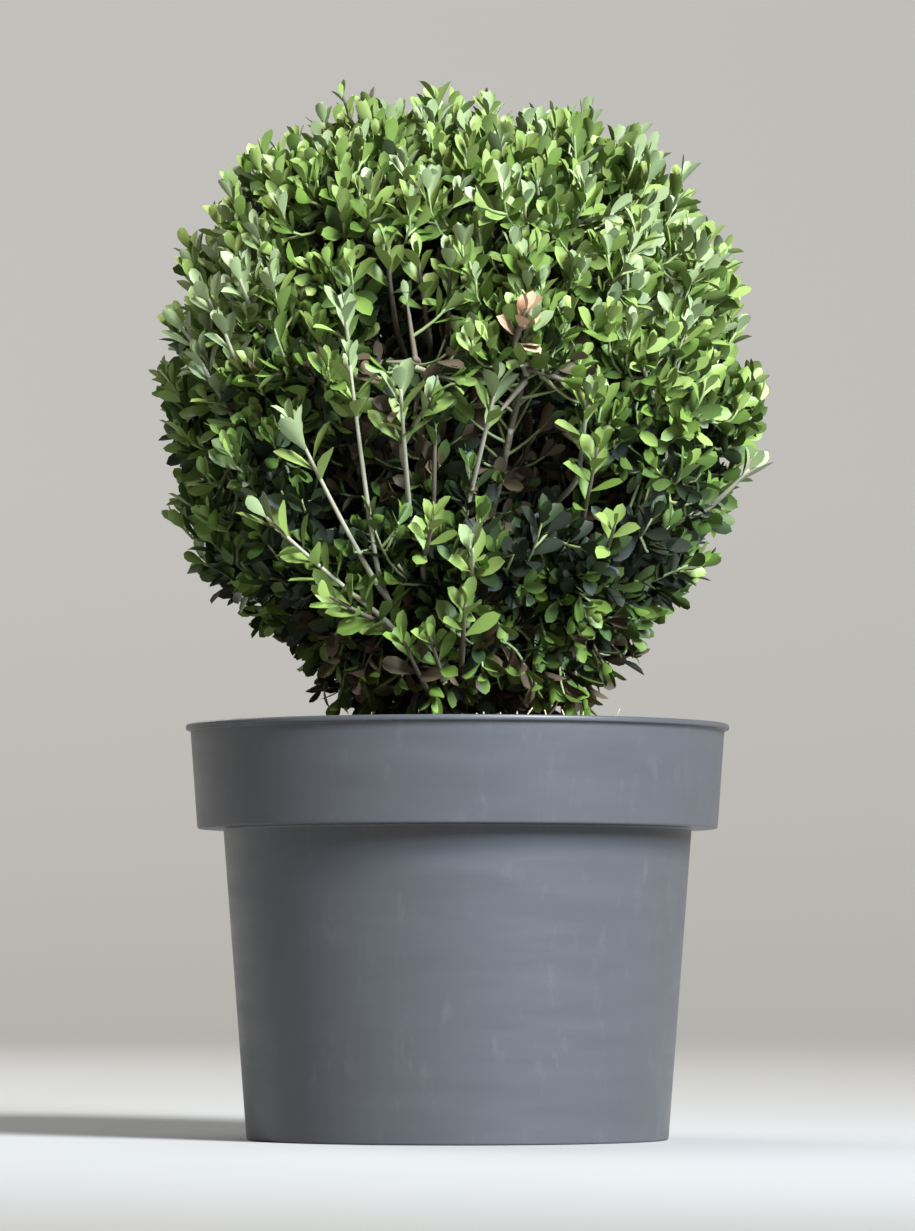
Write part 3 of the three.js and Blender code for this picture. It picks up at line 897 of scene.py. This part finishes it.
def add_leaves(growth, route, count, tone, draw, size=1.0, step=LEAF_STEP, shown=False):
    """Leaves that spiral down a shoot: small upright ones at its tip, spreading ones below.
    Those of a shoot that is shown may stand in a hollow and further out."""
    spin = 2 * pi * draw()
    total = lengths_along(route)[-1]
    for j in range(count):
        back = step * max(j - 1, 0) * lerp(*LEAF_STEPS, draw())
        if back > total:
            break
        root, axis = point_back(route, back)
        across, over = square_to(axis)
        spin += radians(GOLDEN_ANGLE)
        lean = TIP_LEAN
        if j > 0:
            lean = min(MOST_LEAN, FIRST_LEAN + LEAN_STEP * j) + LEAN_SCATTER * (draw() - 0.5)
        spread = radians(lean)
        outward = across * cos(spin) + over * sin(spin)
        along = axis * cos(spread) + outward * sin(spread)
        along = unit(along + UP * LEAF_LIFT)
        upward = axis - along * (axis @ along) + across * LEAF_TWIST * (draw() - 0.5)
        upward = unit(upward - along * (upward @ along))
        age = min(1.0, TIP_AGE + AGE_STEP * j)
        length = LEAF_LENGTH * size * age * lerp(*LEAF_LENGTHS, draw())
        width = LEAF_WIDTH * size * age * lerp(*LEAF_WIDTHS, draw())
        tip = root + along * length
        offset = tip - CROWN_CENTRE
        over_by = norm(offset) - crown_reach(unit(offset))
        limit = SHOWN_OVER if shown else lerp(WIDEST_OVER, CROWN_OVER, from_widest(offset[2]))
        beyond = over_by > limit or tip[2] < SKIRT_FOOT - SKIRT_DROOP
        if beyond or in_hollow(lerp(root, tip, LEAF_MIDDLE)) and not shown:
            continue
        fold = lerp(*LEAF_FOLDS, draw())
        curl = lerp(*LEAF_CURLS, draw())
        # The tint paints light and shade: the spray's tone, lighter at the tip and darker further
        # down
        newer = TIP_TONES[min(j, len(TIP_TONES) - 1)] * (SHOWN_FADE if shown else 1)
        tint = tint_of(tone + newer)
        shaded = tint < BRIGHT_TINT and (root[2] < DRY_BELOW or tone == INNER_TONE)
        if tone == DRY:
            tint = TAN_TINT
        elif shaded and draw() < DRY_SHARE:
            tint = DRY_TINT
        growth.leaves.append((*root, *along, *upward, length, width, fold, curl, tint))


def add_spray(growth, root, along, length, count, tone, draw):
    """A short side twig with its own leaves, left out where it would end in a hollow."""
    end = root + along * (length - LEAF_LENGTH * SPRAY_SHORT)
    if in_hollow(end):
        return
    lifted = end + UP * SPRAY_LIFT * length
    route = bezier(root, root + along * length * SPRAY_BEND, lifted, 4)
    growth.add_twig(route, SPRAY_RADIUS, FINE_TIP_RADIUS, TWIG_GREEN, sides=4)
    add_leaves(growth, route, count, tone, draw)


def cone_heading(mass, k, count, spread, draw):
    """The heading of one twig of many, dealt evenly over a mass's cone by the golden angle."""
    lean = radians(mass.spread) * spread * sqrt((k + CONE_START) / count)
    turn = radians(GOLDEN_ANGLE * k + TWIG_TURN * draw())
    return mass.toward * cos(lean) + outward_from(mass.toward, turn) * sin(lean)


def grow_twigs(mass, growth, stem_end):
    """The solids' own twigs, with a spray in the place of each of their leaves."""
    draw = random_from(mass.seed)
    shade = random_from(mass.seed + SHADE_SEED)
    lean = radians(SPRAY_ANGLE)
    twigs = []
    for k in range(mass.twigs):
        along = cone_heading(mass, k, mass.twigs, TWIG_SPREAD, draw)
        reach = mass_reach(along, mass) - TIP_SPRAY_LENGTH - TWIG_SCATTER * draw()
        start = lerp(mass.stem_start, stem_end, lerp(*TWIG_STARTS, k / mass.twigs))
        end = CROWN_CENTRE + along * reach
        if inside_by(end, mass) < SPACE_MARGIN + TWIG_RADIUS:
            continue
        if limb_clearance(start, end, mass) < 2 * TWIG_RADIUS:
            continue
        grow = unit(end - start)
        tip = end + grow * (TIP_SPRAY_LENGTH - LEAF_LENGTH)
        # Twigs in a hollow get the darker old bark, which there is also painted shade
        bark = TWIG_OLD_AND_SHADED if in_hollow(end) or in_hollow(tip) else TWIG_GREY
        route = [start, lerp(start, end, 0.5), end, tip]
        growth.add_twig(route, TWIG_RADIUS, FINE_TIP_RADIUS, bark)
        tone = spray_tone(tip, shade)
        add_leaves(growth, np.array([start, end, tip]), SPRAY_LEAVES, tone, shade)
        spin = 2 * pi * draw()
        for back in SPRAY_PLACES:
            spin += radians(GOLDEN_ANGLE)
            spray_along = grow * cos(lean) + outward_from(grow, spin) * sin(lean)
            length = SPRAY_LENGTH * lerp(*SPRAY_LENGTHS, draw())
            add_spray(growth, end - grow * back, spray_along, length, SPRAY_LEAVES,
                      tone - SPRAY_DARKER - INWARD_DARKER * back, shade)
        twigs.append(SimpleNamespace(start=start, end=end, along=along))
    return twigs


def grow_inner_sprays(mass, growth):
    """Sprays round the stem and the end of its bough, which close the view through; their dark tone
    is painted shade.
    """
    draw = random_from(mass.seed + INNER_SEED)
    inner_end = mass.bough.start if mass.bough else trunk_centre(mass.middle[2] - INNER_DROP)
    grow = unit(mass.middle - inner_end)
    for k in range(INNER_SPRAYS):
        share = (k + draw()) / INNER_SPRAYS
        root = lerp(mass.middle, inner_end, INNER_SHARE * share)
        outward = outward_from(grow, radians(GOLDEN_ANGLE * k))
        along = unit(outward + grow * INNER_FORWARD)
        length = INNER_SPRAY_LENGTH * lerp(*INNER_LENGTHS, draw())
        add_spray(growth, root, along, length, INNER_SPRAY_LEAVES, INNER_TONE, draw)


def grow_finer_twigs(mass, growth, twigs):
    """Shoots between the twigs, each from the twig whose heading is nearest its own."""
    draw = random_from(mass.seed + FINE_SEED)
    count = mass.twigs * FINE_PER_TWIG
    for k in range(count):
        along = cone_heading(mass, k, count, FINE_SPREAD, draw)
        relief = tuft(along)
        gap = GAP_DEPTH * max(0.0, -relief) + TUFT_RISE * (1 - max(0.0, relief))
        inset = lerp(WIDEST_INSET, FINE_INSET, from_widest(along[2] * CROWN_HALF_HEIGHT))
        reach = crown_reach(along) - inset - FINE_SCATTER * draw() ** 1.5 - gap
        if draw() < PROUD_SHARE:
            reach += FINE_PROUD
        end = CROWN_CENTRE + along * reach
        share = lerp(*FINE_STARTS, draw())
        if inside_by(end, mass) < -FINE_OVERLAP:
            continue
        parent = max(twigs, key=lambda twig: twig.along @ along)
        start = lerp(parent.start, parent.end, share)
        upright = FINE_UPRIGHT * smoothstep((end[2] - UPRIGHT_FROM) / UPRIGHT_OVER)
        last = unit(lerp(along, UP, upright))
        control = end - last * FINE_BEND * norm(end - start)
        route = bezier(start, control, end, steps=6)
        if any(in_hollow(point) for point in route[2:]):
            continue
        growth.add_twig(route, FINE_RADIUS, FINE_TIP_RADIUS, TWIG_GREEN, sides=4)
        tone = spray_tone(end, draw)
        add_leaves(growth, route, FINE_LEAVES, tone, draw)
        root, axis = point_back(route, lerp(*SIDE_SPRAY_BACK, draw()))
        side = unit(axis * SIDE_FORWARD + outward_from(axis, 2 * pi * draw()))
        add_spray(growth, root, side, SIDE_SPRAY_LENGTH, SIDE_SPRAY_LEAVES,
                  tone - SIDE_SPRAY_DARKER, draw)


def add_foliage(mass):
    growth = Growth()
    stem_end = mass.middle + mass.toward * STEM_BEYOND
    growth.add_twig([mass.stem_start, mass.middle, stem_end], mass.stem_radius, TWIG_RADIUS,
                    TWIG_OLD_AND_SHADED, sides=8)
    twigs = grow_twigs(mass, growth, stem_end)
    grow_finer_twigs(mass, growth, twigs)
    grow_inner_sprays(mass, growth)
    return growth.finish(mass.name, [f"foliage_{mass.name}"])


def shown_route(root, tip):
    """A shoot's way out from the trunk, through the foliage to its root and on to its tip."""
    height = min(max(root[2] - SHOWN_DROP, SHOWN_LOWEST), SHOWN_HIGHEST)
    inner = bezier(trunk_centre(height), root - (tip - root) * SHOWN_RUN_IN, root, 8)
    bow = SHOWN_BOW * norm(tip - root)
    return np.concatenate([inner, bezier(root, lerp(root, tip, 0.5) + bow, tip, 10)[1:]])


def add_shown_shoots():
    """The shoots that show singly, with bare stems and lighter leaves, and the pruned stub."""
    growth = Growth()
    for k, (root, tip, leaves, size, tone) in enumerate(SHOWN_SHOOTS):
        route = shown_route(*np.array([root, tip]) / PER_METRE)
        # Shoots of a lower tone stand in shade, and their darker bark is painted shade
        bark = TWIG_GREY if tone > SHADED_BELOW else TWIG_OLD_AND_SHADED
        growth.add_twig(route, TWIG_RADIUS, SHOWN_TIP_RADIUS, bark, sides=SHOWN_SIDES)
        draw = random_from(seed=515 + 90 * k)
        add_leaves(growth, route, leaves, tone, draw, size=size, step=SHOWN_STEP, shown=True)
    stub = shown_route(*np.array(STUB) / PER_METRE)
    growth.add_twig(stub, *STUB_RADII, TWIG_OLD_AND_SHADED, sides=SHOWN_SIDES)
    add_leaves(growth, stub, STUB_LEAVES, DRY, random_from(seed=77), shown=True)
    return growth.finish("front_shoots", [])


# Container: a smooth turned wall with rounded edges, drained through its floor

def rounded(outline, radius, steps=4, most=0.45):
    """An outline with each inner corner rounded, by at most a share of the edges beside it."""
    points = [outline[0]]
    for before, corner, after in zip(outline, outline[1:], outline[2:]):
        back, ahead = before - corner, after - corner
        cut = min(radius, most * norm(back), most * norm(ahead))
        points.extend(bezier(corner + unit(back) * cut, corner, corner + unit(ahead) * cut, steps))
    points.append(outline[-1])
    return np.array(points)


def ring_corners(rings, segments):
    """The corners of rings of (radius, height) about Z."""
    turns = 2 * pi * np.arange(segments) / segments
    radii, heights = rings[:, :1], rings[:, 1:]
    return np.stack([radii * np.cos(turns), radii * np.sin(turns), heights * np.ones(segments)],
                    axis=-1).reshape(-1, 3)


def turned(profile, segments):
    """Corners and faces of a profile of (radius, height) turned about Z, closed on the axis."""
    rings = profile[1:-1]
    ends = np.array([[0, 0, profile[0, 1]], [0, 0, profile[-1, 1]]])
    corners = np.concatenate([ring_corners(rings, segments), ends])
    return corners, closed_faces(len(rings), segments)


def pot_inner_radius(height):
    return lerp(POT_FOOT_RADIUS, POT_NECK_RADIUS, height / POT_NECK_HEIGHT) - POT_WALL


def pot_outline():
    lip = POT_HEIGHT - POT_LIP_HEIGHT
    return np.array([
        [0, 0],
        [POT_FOOT_RADIUS, 0],
        [POT_NECK_RADIUS, POT_NECK_HEIGHT],
        [POT_BAND_RADIUS, POT_NECK_HEIGHT],
        [POT_TOP_RADIUS - POT_LIP, lip],
        [POT_TOP_RADIUS, lip],
        [POT_TOP_RADIUS, POT_HEIGHT],
        [POT_TOP_RADIUS - POT_LIP - POT_WALL, POT_HEIGHT],
        [POT_BAND_RADIUS - POT_WALL, POT_NECK_HEIGHT + POT_WALL],
        [POT_NECK_RADIUS - POT_WALL, POT_NECK_HEIGHT + POT_WALL],
        [pot_inner_radius(POT_FLOOR), POT_FLOOR],
        [0, POT_FLOOR],
    ])


def add_pot():
    corners, faces = turned(rounded(pot_outline(), POT_CORNER), segments=192)
    pot = add_piece("container", corners, faces, [pot_material()],
                    replaced=["pot"])
    drill = np.array([[0, -POT_FLOOR], [DRAIN_RADIUS, -POT_FLOOR],
                      [DRAIN_RADIUS, 2 * POT_FLOOR], [0, 2 * POT_FLOOR]])
    drill_corners, sets = turned(drill, segments=32)
    drains, drain_faces = [], []
    for k in range(DRAIN_COUNT):
        drain_faces += [each + len(drill_corners) * k for each in sets]
        drains.append(drill_corners + heading(360 * k / DRAIN_COUNT, 0) * DRAIN_CIRCLE)
    cutter = add_piece("drain_cutter", np.concatenate(drains), drain_faces, [])
    cut = pot.modifiers.new("drains", "BOOLEAN")
    cut.operation = "DIFFERENCE"
    cut.object = cutter
    cut.solver = "EXACT"
    graph = bpy.context.evaluated_depsgraph_get()
    pot.data = bpy.data.meshes.new_from_object(pot.evaluated_get(graph))
    pot.modifiers.clear()
    bpy.data.objects.remove(cutter)


# Growing medium: an uneven top in the container, with crumbs and fibres

def soil_height(radius):
    share = (radius - SOIL_HEAP_RADIUS) / (SOIL_EDGE_RADIUS - SOIL_HEAP_RADIUS)
    return lerp(SOIL_CENTRE_HEIGHT, SOIL_EDGE_HEIGHT, max(0.0, min(1.0, share)))


def soil_top(x, y):
    """Height of the uneven top of the medium at a place."""
    radius = hypot(x, y)
    rough = noise.fractal(Vector((x * SOIL_LUMPS, y * SOIL_LUMPS, 0.5)), *SOIL_FRACTAL)
    return soil_height(radius) + SOIL_ROUGHNESS * rough


def add_soil(material):
    step = POT_NECK_HEIGHT + POT_WALL
    wall = [
        [0, POT_FLOOR + GAP],
        [pot_inner_radius(POT_FLOOR) - SOIL_SHRINK, POT_FLOOR + GAP],
        [POT_NECK_RADIUS - POT_WALL - SOIL_SHRINK, step + GAP],
        [POT_BAND_RADIUS - POT_WALL - 2 * SOIL_SHRINK, step + 2 * GAP],
    ]
    radii = np.linspace(SOIL_EDGE_RADIUS, 0, num=60)
    top = [[radius, soil_height(radius)] for radius in radii]
    corners, faces = turned(np.array(wall + top), segments=160)
    on_top = corners[:, 2] > SOIL_EDGE_HEIGHT - GAP
    corners[on_top, 2] = [soil_top(x, y) for x, y, _ in corners[on_top]]
    add_piece("medium", corners, faces, [material],
              replaced=["growing_medium"])


def mulch_place(edge, power, draw):
    """A place on the medium's plan within an edge, nearer its middle with a higher power."""
    radius = edge * draw() ** power
    return heading(360 * draw(), 0) * radius


def add_crumbs():
    """Small bits of bark and peat, each a squashed ball with uneven corners."""
    draw = random_from(seed=77)
    shades = plain_materials([
        ("crumb_dark", (0.02, 0.013, 0.009), 0.95, 0.2),
        ("crumb_brown", (0.085, 0.05, 0.028), 0.9, 0.25),
        ("crumb_tan", (0.24, 0.16, 0.09), 0.9, 0.25),
    ])
    profile = np.array([[0, -1], [0.8, -0.5], [0.95, 0.3], [0.5, 0.85], [0, 1]])
    ball, (quads, fans) = turned(profile, 6)
    faces = np.concatenate([quads[:, [0, 1, 2]], quads[:, [0, 2, 3]], fans])
    growth = Growth()
    for _ in range(CRUMB_COUNT):
        middle = mulch_place(SOIL_EDGE_RADIUS - CRUMB_INSET, 0.5, draw)
        size = lerp(*CRUMB_SIZES, draw() ** 2)
        stretch = np.array([lerp(*sizes, draw()) for sizes in CRUMB_STRETCHES]) * size
        wobble = np.array([lerp(*CRUMB_WOBBLE, draw()) for _ in range(len(ball))])[:, None]
        spin = 2 * pi * draw()
        turning = np.array([[cos(spin), -sin(spin), 0], [sin(spin), cos(spin), 0], [0, 0, 1]])
        middle[2] = soil_top(*middle[:2]) + CRUMB_PROUD * size
        crumb = (ball * wobble * stretch) @ turning.T + middle
        growth.add_part(crumb, faces, shade_of(draw() ** 1.6))
    growth.join_parts("medium_crumbs", shades)


def add_fibres():
    """Pale curved fibres that lie over the medium, and some that stand above the rim."""
    draw = random_from(seed=4242)
    growth = Growth()
    lying_edge = SOIL_EDGE_RADIUS - 0.003
    for _ in range(FIBRE_COUNT):
        middle = mulch_place(SOIL_EDGE_RADIUS - FIBRE_INSET, 0.4, draw)
        length = lerp(*FIBRE_LENGTHS, draw())
        way = heading(360 * draw(), 0)
        half = way * length / 2
        bend = np.cross(way, [0, 0, 1]) * length * FIBRE_BEND * (draw() - 0.5)
        lift = lerp(*FIBRE_LIFTS, draw() ** 3)
        route = []
        for point in bezier(middle - half, middle + bend, middle + half, 6):
            distance = hypot(*point[:2])
            if distance > lying_edge:
                point = point * lying_edge / distance
            route.append([*point[:2], soil_top(*point[:2]) + lift])
        thick = lerp(*FIBRE_RADII, draw())
        growth.add_twig(route, thick, thick * FIBRE_TAPER, shade_of(draw()), sides=4)
    for _ in range(STANDING_FIBRES):
        turn = lerp(*STANDING_TURNS, draw() ** 1.5)
        foot = heading(turn, 0) * lerp(*STANDING_CIRCLE, draw())
        foot[2] = soil_top(*foot[:2]) - STANDING_SUNK
        top = foot + heading(360 * draw(), 0) * STANDING_LEAN * draw()
        top[2] = POT_HEIGHT + lerp(*STANDING_TIPS, draw())
        bow = heading(360 * draw(), 0) * STANDING_BOW
        route = bezier(foot, lerp(foot, top, 0.5) + bow, top, 4)
        growth.add_twig(route, *STANDING_RADII, shade_of(draw()), sides=4)
    growth.join_parts("medium_fibres", plain_materials([
        ("fibre_brown", (0.17, 0.10, 0.055), 0.9, 0.25),
        ("fibre_tan", (0.38, 0.26, 0.15), 0.85, 0.3),
        ("fibre_straw", (0.55, 0.42, 0.26), 0.8, 0.3),
    ]))


# Camera, light and stage

CAMERA_DISTANCE = 2.6
CAMERA_HEIGHT = 0.073
CAMERA_AIM_HEIGHT = 0.2215
FRAME_HEIGHT = 0.522
FLOOR_OUTLINE = np.array([[0, 0], [6.0, 0], [13.5, 3.05]])
FLOOR_SEGMENTS = 96


def add_camera():
    data = bpy.data.cameras.new("camera")
    camera = new_object("camera", data)
    camera.location = (0, -CAMERA_DISTANCE, CAMERA_HEIGHT)
    aim = Vector((0, 0, CAMERA_AIM_HEIGHT)) - camera.location
    camera.rotation_euler = aim.to_track_quat("-Z", "Y").to_euler()
    data.sensor_width = 36
    data.lens = data.sensor_width * aim.length / FRAME_HEIGHT
    data.clip_start = 0.05
    data.clip_end = 50
    bpy.context.scene.camera = camera


def add_light(name, place, aim, width, height, power, colour=(1, 1, 1), spread=180):
    data = bpy.data.lights.new(name, "AREA")
    data.shape = "RECTANGLE"
    data.size = width
    data.size_y = height
    data.spread = radians(spread)
    data.energy = power
    data.color = colour
    light = new_object(name, data)
    light.location = place
    light.rotation_euler = (Vector(aim) - Vector(place)).to_track_quat("-Z", "Y").to_euler()
    light.visible_camera = False


def add_sun(name, azimuth, elevation, strength, spread, colour):
    data = bpy.data.lights.new(name, "SUN")
    data.energy = strength
    data.angle = radians(spread)
    data.color = colour
    light = new_object(name, data)
    light.rotation_euler = Vector(-heading(azimuth, elevation)).to_track_quat("-Z", "Y").to_euler()


def add_stage():
    """A pale round floor that rises gently all round, far behind every camera."""
    profile = rounded(FLOOR_OUTLINE, radius=2.4, steps=16)[1:]
    corners = ring_corners(profile, FLOOR_SEGMENTS)
    mesh = bpy.data.meshes.new("floor")
    faces = tube_faces(len(profile), FLOOR_SEGMENTS)[:, ::-1].tolist()
    mesh.from_pydata(corners.tolist(), [], faces + [list(range(FLOOR_SEGMENTS))])
    mesh.shade_smooth()
    mesh.materials.append(new_material("pale_floor", (0.295, 0.292, 0.286), 0.9, specular=0.1)[0])
    floor = new_object("floor", mesh)


def add_world():
    world = bpy.data.worlds.new("studio")
    bpy.context.scene.world = world
    world.use_nodes = True
    background = world.node_tree.nodes["Background"]
    background.inputs["Color"].default_value = (0.90, 0.94, 1.0, 1)
    background.inputs["Strength"].default_value = 0.13
    bpy.context.scene.view_settings.view_transform = "Standard"


add_camera()
add_stage()
add_world()
add_sun("key", azimuth=-53, elevation=42, strength=6.3, spread=14, colour=(1.0, 0.98, 0.93))
add_light("window", place=(1.10, -1.56, 1.08), aim=(0, 0, 0.14), width=0.5, height=0.7,
          power=11, colour=(0.70, 0.85, 1.0), spread=54)
add_light("top", place=(-0.3, 0.3, 2.4), aim=(0, 0, 0.3), width=1.1, height=1.1, power=28)
add_light("back", place=(-1.4, 1.8, 1.6), aim=(0, 0, 0.3), width=1.0, height=1.0, power=26)

BARK = bark_material()
add_pot()
add_soil(soil_material())
add_crumbs()
add_fibres()
add_trunk()
for mass in MASSES:
    if mass.bough:
        add_bough(mass)
leaf_count = sum(add_foliage(mass) for mass in MASSES) + add_shown_shoots()
